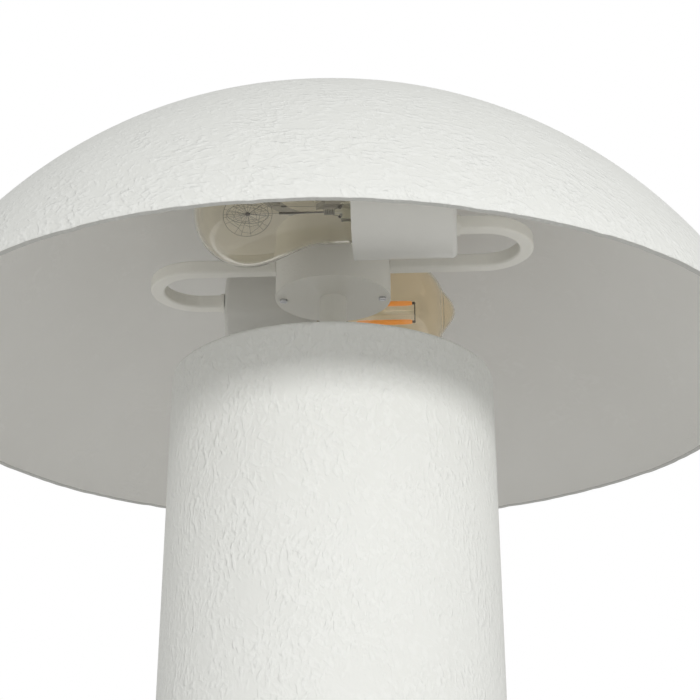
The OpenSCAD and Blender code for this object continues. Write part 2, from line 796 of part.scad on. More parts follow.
module tipped_glass(d, out, neck_out, tip_r, tip_h) {
    sides = [for (t = [0, glass_wall]) concat(
        glass_side(d, out, neck_out, t, acos(tip_r / (d / 2 - t))), tip_side(d, out, tip_r, tip_h, t))];
    rotate_extrude($fn = 120) polygon(concat(sides[0], reversed(sides[1])));
}

module front_bulb_glass() {
    color(clear_tint) in_socket(0) glass(front_bulb_d, front_bulb_out, front_neck_out);
}

module rear_bulb_glass() {
    color(amber) in_socket(1)
        tipped_glass(rear_bulb_d, rear_bulb_out, rear_neck_out, rear_tip_r, rear_tip_h);
}

module front_bulb_cap() { in_socket(0) bulb_cap(); }
module rear_bulb_cap() { in_socket(1) bulb_cap(); }
module front_bulb_insulator() { in_socket(0) bulb_insulator(); }
module rear_bulb_insulator() { in_socket(1) bulb_insulator(); }
module front_bulb_button() { in_socket(0) bulb_button(); }
module rear_bulb_button() { in_socket(1) bulb_button(); }

flare_z = cap_front - 3.5;
flare_h = 3;
mount_r = 4.2;
pinch_z = socket_len - 0.5;
pinch_h = 6;
pinch_t = 3.2;
pinch_top = pinch_z + pinch_h;
rod_r = 1.1;
seat_gap = 0.02;
led_z0 = socket_len + led_out;
led_z1 = led_z0 + led_len;
cross_d = 0.7;
front_rod_top = pinch_top + 6.5;
rear_rod_top = led_z1 + cross_d;

module tube_between(z0, z1, r0, r1) {
    translate([0, 0, z0]) cylinder(h = z1 - z0 + eps, r1 = r0, r2 = r1, $fn = 40);
}

// The glass mount inside a bulb: a flare that is sealed in the neck, a pinch and a rod
module glass_mount(rod_top) {
    tube_between(flare_z, flare_z + flare_h, glue_r - glass_wall - thread_gap, mount_r);
    tube_between(flare_z + flare_h, pinch_z, mount_r, mount_r);
    translate([-mount_r, -pinch_t / 2, pinch_z - eps]) cube([2 * mount_r, pinch_t, pinch_h]);
    tube_between(pinch_top - eps, rod_top - eps, rod_r, rod_r);
}

// Each rod ends just short of what it carries
module front_bulb_stem() {
    color([0.9, 0.92, 0.88, 0.6]) in_socket(0) glass_mount(front_rod_top);
}

module rear_bulb_stem() {
    color([0.9, 0.8, 0.6, 0.6]) in_socket(1) glass_mount(rear_rod_top);
}

// A straight wire between two points
module wire(a, b, d) {
    v = b - a;
    l = norm(v);
    translate(a) rotate([0, acos(v[2] / l), atan2(v[1], v[0])]) cylinder(h = l, d = d, $fn = 13);
}

wheel_z = socket_len + front_bulb_out - front_bulb_d / 2;
spoke_d = 0.7 * wire_d;
bead_r = 1.1;
knot_x = 3;
knot_r = 0.6;
knot_z = pinch_top + 0.2 + knot_r;

module ring(r, d) {
    rotate_extrude($fn = 32) translate([r, 0]) circle(d = d, $fn = 13);
}

// A wheel of wire round the bead. Its spokes leave out the bulb's axis, where a longer wire runs.
module wire_wheel(rings, spokes) {
    for (r = rings) rotate([90, 0, 0]) ring(r, wire_d);
    for (i = [1:spokes - 1], k = [-1, 1]) let (a = 180 * i / spokes, out = [k * sin(a), 0, cos(a)])
        wire(0.8 * bead_r * out, max(rings) * out, spoke_d);
}

// Two crossed wheels of fine wire on a post, which a sleeve and a lead-in wire tie to the glass mount
module front_bulb_filament() {
    sleeve_h = 4.5;
    sleeve_past = 0.8;
    sleeve_wall = 0.5;
    sleeve_r = rod_r + 0.15 + sleeve_wall;
    small_r = wheel_r - 3 * wire_d;
    post_foot = front_rod_top + 1.2;
    post_top = socket_len + post_out;
    tie = [-2.3, 0, front_rod_top + 0.8];
    side = [3.4, 0, post_top - 2];
    side_angle = 25;
    color("#4b463f") in_socket(0) {
        translate([0, 0, wheel_z]) {
            sphere(r = bead_r, $fn = 20);
            wire_wheel([0.6 * wheel_r, wheel_r], wheel_spokes);
            rotate([0, 0, 90]) wire_wheel([0.6 * small_r, small_r], wheel_spokes / 2);
        }
        wire([0, 0, post_top - 0.5], [0, 0, wheel_z + wheel_r], spoke_d);
        translate([0, 0, post_foot])
            cylinder(h = post_top - post_foot, d1 = 0.7 * post_d, d2 = post_d, $fn = 24);
        // a sleeve on the rod's end holds the post
        translate([0, 0, front_rod_top - sleeve_h + sleeve_past]) difference() {
            cylinder(h = sleeve_h, r = sleeve_r, $fn = 32);
            translate([0, 0, -1]) cylinder(h = sleeve_h + 2, r = sleeve_r - sleeve_wall, $fn = 32);
        }
        wire([0, sleeve_r - sleeve_wall / 2, front_rod_top + sleeve_past / 2],
            [0, 0, post_foot + 0.8], spoke_d);
        for (k = [-1, 1]) translate([k * knot_x, 0, knot_z]) sphere(r = knot_r, $fn = 16);
        wire([-knot_x, 0, knot_z], tie, spoke_d);
        wire(tie + [-0.1, 0, -0.1], [0, 0, post_foot + 1.4], spoke_d);
        // the second lead-in wire runs beside the post to the larger wheel
        wire([knot_x, 0, knot_z], side, spoke_d);
        translate(side) sphere(r = knot_r, $fn = 16);
        wire(side, [wheel_r * sin(side_angle), 0, wheel_z - wheel_r * cos(side_angle)], spoke_d);
    }
}

// Glowing bars between their lead-in wires and a wire cross over the rod's end
module rear_bulb_filament() {
    cross_z = rear_rod_top + 1.3 * cross_d;
    color(glow) in_socket(1) {
        for (i = [0:led_count - 1]) rotate([0, 0, 360 * i / led_count]) {
            translate([led_off, 0, led_z0]) cylinder(h = led_len, d = led_d, $fn = 32);
            wire([0, 0, cross_z], [led_off, 0, led_z1 - 0.2], cross_d);
            wire([knot_x, 0, pinch_top + 0.2], [led_off, 0, led_z0 + 0.2], cross_d);
        }
        translate([0, 0, cross_z]) sphere(r = cross_d, $fn = 24);
    }
}

shade_shell();
crown_block();
crown_plate();
crown_screws();
shade_rest();
shade_rest_nut();
lamp_pipe();
hub_nut();
hub_washer();
hub_housing();
hub_cover();
hub_cover_screws();
stem_tube();
stem_washer();
body_shell();
base_weight();
weight_nut();
base_plate();
base_washer();
base_nut();
felt_pad();
cord_bushing();
front_arm();
rear_arm();
arm_nuts();
arm_washers();
lead_connectors();
front_leads();
rear_leads();
front_socket_cap();
rear_socket_cap();
front_socket_shell();
rear_socket_shell();
front_socket_core();
rear_socket_core();
front_screw_shell();
rear_screw_shell();
front_centre_contact();
rear_centre_contact();
terminal_screws();
core_screws();
front_bulb_glass();
rear_bulb_glass();
front_bulb_cap();
rear_bulb_cap();
front_bulb_insulator();
rear_bulb_insulator();
front_bulb_button();
rear_bulb_button();
front_bulb_stem();
rear_bulb_stem();
front_bulb_filament();
rear_bulb_filament();
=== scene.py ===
import math

import bpy
import numpy as np
from mathutils import Matrix


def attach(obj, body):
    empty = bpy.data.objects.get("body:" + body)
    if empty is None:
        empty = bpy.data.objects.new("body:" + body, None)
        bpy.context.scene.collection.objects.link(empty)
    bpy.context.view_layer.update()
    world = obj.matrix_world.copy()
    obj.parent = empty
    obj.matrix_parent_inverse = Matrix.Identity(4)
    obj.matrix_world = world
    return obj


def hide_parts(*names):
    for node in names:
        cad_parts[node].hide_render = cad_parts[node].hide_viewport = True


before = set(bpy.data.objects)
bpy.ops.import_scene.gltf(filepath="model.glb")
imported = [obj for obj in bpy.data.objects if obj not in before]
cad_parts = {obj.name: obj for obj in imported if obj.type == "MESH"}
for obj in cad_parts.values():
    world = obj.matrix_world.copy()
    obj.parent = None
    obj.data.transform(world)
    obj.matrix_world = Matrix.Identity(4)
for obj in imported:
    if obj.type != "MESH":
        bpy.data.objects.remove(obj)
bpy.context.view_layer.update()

scene = bpy.context.scene
print("frame loaded")

# camera, where the photograph was taken from: low in front, looking up under the shade
cameraSettings = {
    "place": (0.008, -0.7789, 0.0831), "pitch": 0.389, "focalPixels": 1800, "photoPixels": 700, "sensor": 36,
    "clipStart": 0.01,
}


def makeCamera(s):
    data = bpy.data.cameras.new("lampCamera")
    data.lens = s["focalPixels"] / s["photoPixels"] * s["sensor"]
    data.sensor_width = s["sensor"]
    data.clip_start = s["clipStart"]
    camera = bpy.data.objects.new("lampCamera", data)
    camera.location = s["place"]
    camera.rotation_euler = (math.pi / 2 + s["pitch"], 0, 0)
    scene.collection.objects.link(camera)
    return camera


scene.camera = makeCamera(cameraSettings)
scene.view_settings.view_transform = "Standard"


# mesh helpers


def makePiece(name, points, faces):
    # puts whole arrays of points and faces into a mesh; faces is a list of index arrays, one for each corner count
    mesh = bpy.data.meshes.new(name)
    counts = np.concatenate([np.full(len(f), f.shape[1]) for f in faces])
    corners = np.concatenate([f.ravel() for f in faces])
    starts = np.concatenate([[0], np.cumsum(counts)[:-1]])
    mesh.vertices.add(len(points))
    mesh.vertices.foreach_set("co", np.ascontiguousarray(points, np.float32).ravel())
    mesh.loops.add(len(corners))
    mesh.loops.foreach_set("vertex_index", corners.astype(np.int32))
    mesh.polygons.add(len(counts))
    mesh.polygons.foreach_set("loop_start", starts.astype(np.int32))
    mesh.polygons.foreach_set("use_smooth", np.ones(len(counts), bool))
    mesh.update(calc_edges=True)
    mesh.validate()
    piece = bpy.data.objects.new(name, mesh)
    scene.collection.objects.link(piece)
    return piece


def gridFaces(rows, cols, rowsClosed, first):
    # four corners for each cell of a grid that is closed round its columns
    row = np.arange(rows if rowsClosed else rows - 1)[:, None]
    col = np.arange(cols)[None, :]
    nextRow, nextCol = (row + 1) % rows, (col + 1) % cols
    cells = [row * cols + col, row * cols + nextCol, nextRow * cols + nextCol, nextRow * cols + col]
    return np.stack([np.broadcast_to(c, (row.size, cols)) for c in cells], -1).reshape(-1, 4) + first


def turned(name, profile, cols, shift=None, place=None):
    # turns a profile of (radius, height) points round the axis: x = r cos a, y = r sin a, z = h.
    # A profile that starts and ends on the axis gets a pole there, and any other is closed into a ring.
    profile = np.asarray(profile, float)
    poles = profile[0, 0] < 1e-9
    rings = profile[1:-1] if poles else profile
    angle = np.arange(cols) / cols * 2 * math.pi
    radius = np.repeat(rings[:, :1], cols, 1)
    height = np.repeat(rings[:, 1:], cols, 1)
    if shift is not None:
        moveOut, moveUp = shift(rings, angle)
        radius, height = radius + moveOut, height + moveUp
    points = np.stack([radius * np.cos(angle), radius * np.sin(angle), height], -1).reshape(-1, 3)
    faces = [gridFaces(len(rings), cols, not poles, 1 if poles else 0)]
    if poles:
        last = len(points) + 1
        col = np.arange(cols)
        following = (col + 1) % cols
        lastRing = (len(rings) - 1) * cols
        faces.append(np.stack([np.zeros(cols, int), following + 1, col + 1], -1))
        faces.append(np.stack([lastRing + col + 1, lastRing + following + 1, np.full(cols, last)], -1))
        firstPole = [0, 0, height[0].mean() + profile[0, 1] - rings[0, 1]]
        lastPole = [0, 0, height[-1].mean() + profile[-1, 1] - rings[-1, 1]]
        points = np.concatenate([[firstPole], points, [lastPole]])
    if place is not None:
        turn, move = place
        points = points @ turn.T + move
    return makePiece(name, points, faces)


def arcPoints(centre, radius, start, end, count):
    # points on a circle from one angle to the other, in degrees, both ends included
    a = np.radians(np.linspace(start, end, count))
    return np.stack([centre[0] + radius * np.cos(a), centre[1] + radius * np.sin(a)], -1)


# the cluster of hub, arms and sockets is turned a little about the lamp's axis
cluster = {"turn": -3.5, "armHeight": 0.4455, "socketBack": (0.059, 0.057), "socketOff": 0.0575}


def sideFrame(side):
    # turn and place of one side of the cluster; side 1 is half a turn round
    a = math.radians(cluster["turn"] + 180 * side)
    turn = np.array([[math.cos(a), -math.sin(a), 0], [math.sin(a), math.cos(a), 0], [0, 0, 1]])
    return turn, np.array([0, 0, cluster["armHeight"]])


def socketFrame(side):
    # the socket's own z runs from its back to its mouth, its x is up and its y points to the hub
    turn, move = sideFrame(side)
    lie = np.array([[0, 0, -1], [0, 1, 0], [1, 0, 0]], float)
    return turn @ lie, turn @ np.array([cluster["socketBack"][side], -cluster["socketOff"], 0]) + move


# material helpers


def newGroup(name, inputs, outputs):
    group = bpy.data.node_groups.new(name, "ShaderNodeTree")
    for label, kind, value in inputs:
        socket = group.interface.new_socket(name=label, in_out="INPUT", socket_type=kind)
        if value is not None:
            socket.default_value = value
    for label, kind in outputs:
        group.interface.new_socket(name=label, in_out="OUTPUT", socket_type=kind)
    return group, group.nodes.new("NodeGroupInput").outputs, group.nodes.new("NodeGroupOutput").inputs


def addNode(tree, kind, place, values=None, **settings):
    # values go to the node's sockets by name or number, settings to the node itself
    node = tree.nodes.new(kind)
    node.location = place
    for key, value in settings.items():
        setattr(node, key, value)
    for key, value in (values or {}).items():
        node.inputs[key].default_value = value
    return node


def linkAll(tree, pairs):
    for source, target in pairs:
        tree.links.new(source, target)


def trowelMarks():
    # raised marks of a trowel: noise squeezed across and drawn out along one direction, bent a little by a
    # slower noise, cut so that only its peaks stand up, and kept in some patches only
    group, given, out = newGroup("trowelMarks", [
        ("Vector", "NodeSocketVector", None), ("Across", "NodeSocketFloat", 700.0),
        ("Along", "NodeSocketFloat", 180.0), ("Turn", "NodeSocketVector", (0, 0, 0)),
        ("Wander", "NodeSocketFloat", 0.004), ("Cover", "NodeSocketFloat", 0.5)], [("Height", "NodeSocketFloat")])
    spun = addNode(group, "ShaderNodeVectorRotate", (-1000, 200), rotation_type="EULER_XYZ")
    slow = addNode(group, "ShaderNodeTexNoise", (-800, 0), {"Scale": 60.0, "Detail": 1.0})
    centred = addNode(group, "ShaderNodeVectorMath", (-600, 0), {1: (0.5, 0.5, 0.5)}, operation="SUBTRACT")
    bend = addNode(group, "ShaderNodeVectorMath", (-450, 0), operation="SCALE")
    bent = addNode(group, "ShaderNodeVectorMath", (-300, 100), operation="ADD")
    scale = addNode(group, "ShaderNodeCombineXYZ", (-300, -150))
    squeeze = addNode(group, "ShaderNodeVectorMath", (-150, 100), operation="MULTIPLY")
    marks = addNode(group, "ShaderNodeTexNoise", (0, 100), {"Scale": 1.0, "Detail": 1.0, "Roughness": 0.4})
    peaks = addNode(group, "ShaderNodeMapRange", (200, 100), {"From Min": 0.47, "From Max": 0.68},
                    interpolation_type="SMOOTHSTEP")
    patches = addNode(group, "ShaderNodeTexNoise", (0, -200), {"Scale": 48.0, "Detail": 2.0})
    low = addNode(group, "ShaderNodeMath", (0, -400), {0: 0.75}, operation="SUBTRACT")
    high = addNode(group, "ShaderNodeMath", (150, -400), {1: 0.2}, operation="ADD")
    spread = addNode(group, "ShaderNodeMapRange", (300, -200), interpolation_type="SMOOTHSTEP")
    kept = addNode(group, "ShaderNodeMath", (500, 0), operation="MULTIPLY")
    linkAll(group, [
        (given["Vector"], spun.inputs["Vector"]), (given["Turn"], spun.inputs["Rotation"]),
        (spun.outputs["Vector"], slow.inputs["Vector"]), (slow.outputs["Color"], centred.inputs[0]),
        (centred.outputs["Vector"], bend.inputs[0]), (given["Wander"], bend.inputs["Scale"]),
        (spun.outputs["Vector"], bent.inputs[0]), (bend.outputs["Vector"], bent.inputs[1]),
        (given["Across"], scale.inputs["X"]), (given["Across"], scale.inputs["Y"]),
        (given["Along"], scale.inputs["Z"]), (bent.outputs["Vector"], squeeze.inputs[0]),
        (scale.outputs["Vector"], squeeze.inputs[1]), (squeeze.outputs["Vector"], marks.inputs["Vector"]),
        (marks.outputs["Fac"], peaks.inputs["Value"]), (spun.outputs["Vector"], patches.inputs["Vector"]),
        (given["Cover"], low.inputs[1]), (low.outputs["Value"], high.inputs[0]),
        (patches.outputs["Fac"], spread.inputs["Value"]), (low.outputs["Value"], spread.inputs["From Min"]),
        (high.outputs["Value"], spread.inputs["From Max"]), (peaks.outputs["Result"], kept.inputs[0]),
        (spread.outputs["Result"], kept.inputs[1]), (kept.outputs["Value"], out["Height"])])
    return group


def softSwell():
    # slow unevenness with a fine grain on it: the first noise plus the grain's share of the second
    group, given, out = newGroup("softSwell", [
        ("Vector", "NodeSocketVector", None), ("Scale", "NodeSocketFloat", 60.0),
        ("Grain Scale", "NodeSocketFloat", 1200.0), ("Grain Share", "NodeSocketFloat", 0.1)],
        [("Height", "NodeSocketFloat")])
    swell = addNode(group, "ShaderNodeTexNoise", (-200, 100), {"Detail": 2.0})
    grain = addNode(group, "ShaderNodeTexNoise", (-200, -200), {"Detail": 1.0})
    share = addNode(group, "ShaderNodeMath", (0, -200), operation="MULTIPLY")
    total = addNode(group, "ShaderNodeMath", (200, 0), operation="ADD")
    linkAll(group, [
        (given["Vector"], swell.inputs["Vector"]), (given["Scale"], swell.inputs["Scale"]),
        (given["Vector"], grain.inputs["Vector"]), (given["Grain Scale"], grain.inputs["Scale"]),
        (grain.outputs["Fac"], share.inputs[0]), (given["Grain Share"], share.inputs[1]),
        (swell.outputs["Fac"], total.inputs[0]), (share.outputs["Value"], total.inputs[1]),
        (total.outputs["Value"], out["Height"])])
    return group


def softMottle():
    # two tones that run into each other in cloudy patches, and a roughness that follows them
    group, given, out = newGroup("softMottle", [
        ("Vector", "NodeSocketVector", None), ("Tone", "NodeSocketColor", (1, 1, 1, 1)),
        ("Other Tone", "NodeSocketColor", (1, 1, 1, 1)), ("Scale", "NodeSocketFloat", 20.0),
        ("Rough Low", "NodeSocketFloat", 0.4), ("Rough High", "NodeSocketFloat", 0.6)],
        [("Color", "NodeSocketColor"), ("Roughness", "NodeSocketFloat")])
    clouds = addNode(group, "ShaderNodeTexNoise", (-200, 0), {"Detail": 5.0, "Roughness": 0.6})
    stretch = addNode(group, "ShaderNodeMapRange", (0, 0), {"From Min": 0.3, "From Max": 0.7})
    tones = addNode(group, "ShaderNodeMix", (200, 100), data_type="RGBA")
    rough = addNode(group, "ShaderNodeMix", (200, -100), data_type="FLOAT")
    linkAll(group, [
        (given["Vector"], clouds.inputs["Vector"]), (given["Scale"], clouds.inputs["Scale"]),
        (clouds.outputs["Fac"], stretch.inputs["Value"]), (stretch.outputs["Result"], tones.inputs["Factor"]),
        (stretch.outputs["Result"], rough.inputs["Factor"]), (given["Tone"], tones.inputs["A"]),
        (given["Other Tone"], tones.inputs["B"]), (given["Rough Low"], rough.inputs["A"]),
        (given["Rough High"], rough.inputs["B"]), (tones.outputs["Result"], out["Color"]),
        (rough.outputs["Result"], out["Roughness"])])
    return group


def fineSpeckle():
    # small pits: a mask that is 1 in the few spots where a fine noise peaks
    group, given, out = newGroup("fineSpeckle", [
        ("Vector", "NodeSocketVector", None), ("Scale", "NodeSocketFloat", 400.0),
        ("Amount", "NodeSocketFloat", 0.3)], [("Mask", "NodeSocketFloat")])
    grains = addNode(group, "ShaderNodeTexNoise", (-200, 0), {"Detail": 1.0})
    low = addNode(group, "ShaderNodeMath", (-200, -200), {0: 1.0}, operation="SUBTRACT")
    cut = addNode(group, "ShaderNodeMapRange", (0, 0), {"From Max": 0.85})
    linkAll(group, [
        (given["Vector"], grains.inputs["Vector"]), (given["Scale"], grains.inputs["Scale"]),
        (given["Amount"], low.inputs[1]), (grains.outputs["Fac"], cut.inputs["Value"]),
        (low.outputs["Value"], cut.inputs["From Min"]), (cut.outputs["Result"], out["Mask"])])
    return group


marksGroup = trowelMarks()
swellGroup = softSwell()
mottleGroup = softMottle()
speckleGroup = fineSpeckle()


def startMaterial(name):
    material = bpy.data.materials.new(name)
    material.use_nodes = True
    tree = material.node_tree
    tree.nodes.clear()
    output = addNode(tree, "ShaderNodeOutputMaterial", (600, 0))
    shader = addNode(tree, "ShaderNodeBsdfPrincipled", (300, 0))
    where = addNode(tree, "ShaderNodeTexCoord", (-900, 0))
    tree.links.new(shader.outputs["BSDF"], output.inputs["Surface"])
    return material, tree, shader, where.outputs["Object"]


def useGroup(tree, group, place, vector, **values):
    # a group with its own values, where _ in a name stands for a space
    named = {label.replace("_", " "): value for label, value in values.items()}
    node = addNode(tree, "ShaderNodeGroup", place, named, node_tree=group)
    tree.links.new(vector, node.inputs["Vector"])
    return node


def addTones(tree, shader, where, s):
    # the two cloudy tones and their roughness; the shader gets the roughness, the caller places the colour
    tones = useGroup(tree, mottleGroup, (-400, 200), where, Tone=s["tone"], Other_Tone=s["otherTone"],
                     Scale=s["cloudScale"], Rough_Low=s["rough"][0], Rough_High=s["rough"][1])
    tree.links.new(tones.outputs["Roughness"], shader.inputs["Roughness"])
    return tones.outputs["Color"]


def addSwell(tree, where, s):
    swell = useGroup(tree, swellGroup, (-400, -300), where, Scale=s["swellScale"],
                     Grain_Scale=s["grainScale"], Grain_Share=s["grain"])
    return swell.outputs["Height"]


def addBump(tree, shader, heights, depth):
    # adds up several heights, each with its share, and lets them tilt the surface
    total = None
    for socket, share in heights:
        part = addNode(tree, "ShaderNodeMath", (-200, -400), {1: share}, operation="MULTIPLY")
        tree.links.new(socket, part.inputs[0])
        if total is None:
            total = part.outputs["Value"]
            continue
        both = addNode(tree, "ShaderNodeMath", (0, -400), operation="ADD")
        linkAll(tree, [(total, both.inputs[0]), (part.outputs["Value"], both.inputs[1])])
        total = both.outputs["Value"]
    bump = addNode(tree, "ShaderNodeBump", (150, -400), {"Distance": depth, "Strength": 1.0})
    linkAll(tree, [(total, bump.inputs["Height"]), (bump.outputs["Normal"], shader.inputs["Normal"])])


# heights of marks, swell and pits are shares of heightUnit, so they read as millimetres;
# each row of marks has its turn in degrees, its scale across and along, and its height
# the paler tone on the raised marks' tops is a painted highlight
plasterBase = {
    "heightUnit": 0.001, "cloudScale": 14.0, "rough": (0.82, 0.93), "shine": 0.25, "wander": 0.006, "cover": 0.38,
    "swellScale": 60.0, "swell": 0.4, "grainScale": 320.0, "grain": 0.25,
    "pitScale": 420.0, "pits": 0.33, "pitDepth": 0.08, "markHighlight": (0.887, 0.894, 0.861, 1),
}
plasterLooks = {
    "bodyPlaster": {
        "tone": (0.872, 0.879, 0.845, 1), "otherTone": (0.852, 0.858, 0.822, 1), "cover": 0.40, "swell": 0.22,
        "marks": [((4, 8, 0), 440.0, 210.0, 0.22), ((-8, -14, 0), 560.0, 250.0, 0.18),
                  ((10, 60, 0), 480.0, 200.0, 0.10)]},
    "domePlaster": {
        "tone": (0.835, 0.842, 0.807, 1), "otherTone": (0.818, 0.824, 0.787, 1), "markHighlight": (0.862, 0.869, 0.836, 1),
        "cover": 0.40,
        "marks": [((0, 68, 0), 430.0, 165.0, 0.24), ((20, 96, 0), 530.0, 205.0, 0.19),
                  ((0, 25, 40), 460.0, 215.0, 0.19)]},
    # painted light: the inside of the shade has a paler tone than its outside, to lift its shade
    "innerPlaster": {
        "tone": (0.912, 0.904, 0.876, 1), "otherTone": (0.888, 0.879, 0.848, 1), "markHighlight": (0.915, 0.907, 0.879, 1),
        "cover": 0.25, "swell": 0.2, "pits": 0.28,
        "marks": [((0, 80, 0), 500.0, 110.0, 0.08), ((70, 20, 0), 420.0, 120.0, 0.07)]},
    # painted shade: the shade's cut edge is painted darker and greyer, to the shade of the inside
    "rimPaintedShade": {
        "tone": (0.60, 0.60, 0.575, 1), "otherTone": (0.56, 0.56, 0.535, 1), "markHighlight": (0.63, 0.63, 0.605, 1),
        "swell": 0.15, "marks": [((90, 0, 0), 600.0, 300.0, 0.08)]},
}


def plasterMaterial(name, s):
    material, tree, shader, where = startMaterial(name)
    color = addTones(tree, shader, where, s)
    shader.inputs["Specular IOR Level"].default_value = s["shine"]
    heights = []
    for turn, across, along, share in s["marks"]:
        marks = useGroup(tree, marksGroup, (-400, -100), where, Across=across, Along=along,
                         Turn=tuple(math.radians(a) for a in turn), Wander=s["wander"], Cover=s["cover"])
        heights.append((marks.outputs["Height"], share))
        # painted highlight: the raised marks are painted a little paler, as if light caught them
        highlightMix = addNode(tree, "ShaderNodeMix", (0, 250), {"B": s["markHighlight"]}, data_type="RGBA")
        linkAll(tree, [(marks.outputs["Height"], highlightMix.inputs["Factor"]), (color, highlightMix.inputs["A"])])
        color = highlightMix.outputs["Result"]
    tree.links.new(color, shader.inputs["Base Color"])
    pits = useGroup(tree, speckleGroup, (-400, -500), where, Scale=s["pitScale"], Amount=s["pits"])
    heights += [(addSwell(tree, where, s), s["swell"]), (pits.outputs["Mask"], -s["pitDepth"])]
    addBump(tree, shader, heights, s["heightUnit"])
    return material


# paint, plastic and metal: depth is in metres, and a look keeps the base's values where it gives none
paintBase = {
    "cloudScale": 30.0, "metal": 0.0, "coat": 0.0, "coatRough": 0.15, "across": 900.0, "along": 700.0,
    "cover": 0.45, "wander": 0.0005, "marksShare": 0.5, "swellScale": 160.0, "grainScale": 2500.0, "grain": 0.1,
    "swellShare": 1.0, "depth": 0.0001, "glow": (0, 0, 0, 1), "glowLevel": 0.0,
}
paintLooks = {
    "wheelWire": {
        "tone": (0.34, 0.32, 0.27, 1), "otherTone": (0.24, 0.225, 0.19, 1), "rough": (0.35, 0.5), "metal": 0.6,
        "depth": 0.00002},
    "whitePaint": {
        "tone": (0.95, 0.935, 0.872, 1), "otherTone": (0.93, 0.915, 0.85, 1), "rough": (0.36, 0.48),
        "depth": 0.00006},
    "whitePlastic": {
        "tone": (0.84, 0.835, 0.80, 1), "otherTone": (0.81, 0.805, 0.765, 1), "rough": (0.3, 0.4),
        "depth": 0.00004},
    "porcelain": {
        "tone": (0.80, 0.785, 0.74, 1), "otherTone": (0.76, 0.745, 0.69, 1), "rough": (0.16, 0.28), "coat": 0.6,
        "depth": 0.00003},
    "steel": {
        "tone": (0.60, 0.60, 0.61, 1), "otherTone": (0.48, 0.48, 0.49, 1), "rough": (0.26, 0.42), "metal": 1.0,
        "across": 2200.0, "along": 150.0, "depth": 0.00004},
    "brass": {
        "tone": (0.78, 0.59, 0.27, 1), "otherTone": (0.66, 0.47, 0.20, 1), "rough": (0.22, 0.4), "metal": 1.0,
        "across": 2200.0, "along": 200.0, "depth": 0.00003},
    "capMetal": {
        "tone": (0.74, 0.70, 0.62, 1), "otherTone": (0.62, 0.55, 0.42, 1), "rough": (0.24, 0.4), "metal": 1.0,
        "depth": 0.00003},
    "castIron": {
        "tone": (0.10, 0.10, 0.105, 1), "otherTone": (0.05, 0.05, 0.055, 1), "rough": (0.55, 0.75),
        "across": 500.0, "along": 500.0, "depth": 0.0005},
    "board": {
        "tone": (0.36, 0.26, 0.17, 1), "otherTone": (0.25, 0.17, 0.11, 1), "rough": (0.6, 0.8),
        "across": 900.0, "along": 900.0, "depth": 0.0003},
    "felt": {
        "tone": (0.13, 0.12, 0.11, 1), "otherTone": (0.07, 0.065, 0.06, 1), "rough": (0.9, 1.0),
        "cloudScale": 400.0, "across": 1800.0, "along": 1500.0, "depth": 0.0006},
    "mouldedPlastic": {
        "tone": (0.78, 0.77, 0.73, 1), "otherTone": (0.72, 0.71, 0.67, 1), "rough": (0.45, 0.6), "depth": 0.00008},
    "blackGlass": {
        "tone": (0.02, 0.02, 0.02, 1), "otherTone": (0.035, 0.033, 0.03, 1), "rough": (0.12, 0.25), "coat": 0.5,
        "depth": 0.00004},
    "leadSleeve": {
        "tone": (0.03, 0.03, 0.03, 1), "otherTone": (0.05, 0.05, 0.05, 1), "rough": (0.5, 0.65), "depth": 0.00004},
    "solder": {
        "tone": (0.62, 0.62, 0.60, 1), "otherTone": (0.48, 0.48, 0.46, 1), "rough": (0.3, 0.5), "metal": 1.0,
        "depth": 0.0002},
    "darkWire": {
        "tone": (0.16, 0.15, 0.13, 1), "otherTone": (0.09, 0.085, 0.08, 1), "rough": (0.35, 0.5), "metal": 0.8,
        "depth": 0.00002},
    # painted glow: the coated bars give off a little light of their own, though the bulb is not lit
    "glowBar": {
        "tone": (0.95, 0.45, 0.12, 1), "otherTone": (0.90, 0.37, 0.08, 1), "rough": (0.5, 0.65),
        "across": 1500.0, "along": 1500.0, "depth": 0.0002, "glow": (1.0, 0.38, 0.08, 1), "glowLevel": 0.34},
}


def paintedMaterial(name, s):
    material, tree, shader, where = startMaterial(name)
    tree.links.new(addTones(tree, shader, where, s), shader.inputs["Base Color"])
    shader.inputs["Metallic"].default_value = s["metal"]
    shader.inputs["Coat Weight"].default_value = s["coat"]
    shader.inputs["Coat Roughness"].default_value = s["coatRough"]
    marks = useGroup(tree, marksGroup, (-400, -100), where, Across=s["across"], Along=s["along"],
                     Wander=s["wander"], Cover=s["cover"])
    heights = [(marks.outputs["Height"], s["marksShare"]), (addSwell(tree, where, s), s["swellShare"])]
    addBump(tree, shader, heights, s["depth"])
    # a look with glowLevel above 0 gets a painted glow
    shader.inputs["Emission Color"].default_value = s["glow"]
    shader.inputs["Emission Strength"].default_value = s["glowLevel"]
    return material


glassBase = {
    "cloudScale": 25.0, "ior": 1.47, "swellScale": 45.0, "grainScale": 300.0, "grain": 0.05, "swellShare": 1.0,
}
glassLooks = {
    "clearGlass": {
        "tone": (0.976, 0.949, 0.875, 1), "otherTone": (0.97, 0.938, 0.855, 1), "rough": (0.0, 0.015),
        "depth": 0.00006},
    "amberGlass": {
        "tone": (0.985, 0.908, 0.765, 1), "otherTone": (0.98, 0.893, 0.735, 1), "rough": (0.0, 0.015),
        "depth": 0.00006},
    "mountGlass": {
        "tone": (0.93, 0.95, 0.92, 1), "otherTone": (0.90, 0.93, 0.90, 1), "rough": (0.02, 0.06),
        "depth": 0.00003},
}


